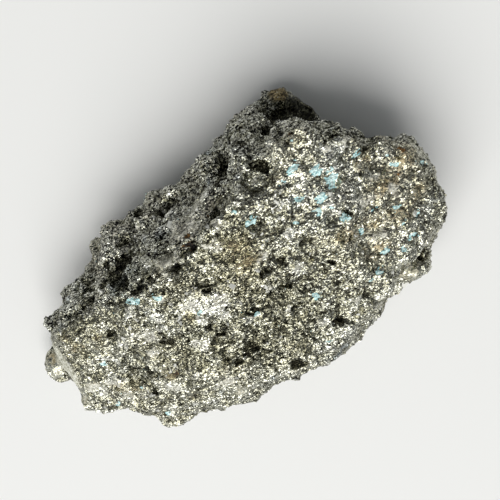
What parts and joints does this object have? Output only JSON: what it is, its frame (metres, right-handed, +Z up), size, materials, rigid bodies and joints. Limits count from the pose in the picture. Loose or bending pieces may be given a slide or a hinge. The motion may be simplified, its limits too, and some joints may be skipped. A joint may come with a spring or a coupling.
{
  "type": "pyrite specimen",
  "caption": "Hand-sized lump of massive granular pyrite: a domed broken face, a rugged back and a flat patch to rest on.",
  "frame": {"origin": "middle of the stone's box in plan, at the surface that it lies on", "axes": "+X along the stone's length, from its low left end to its high right end; +Y towards its rugged back; +Z up"},
  "size_m": [0.0914, 0.0566, 0.03],
  "materials": {
    "pyrite": "rough broken granular crystal faces with a pale brassy metallic lustre"
  },
  "bodies": {
    "root": {"pyrite_mass": "pyrite"}
  },
  "joints": []
}
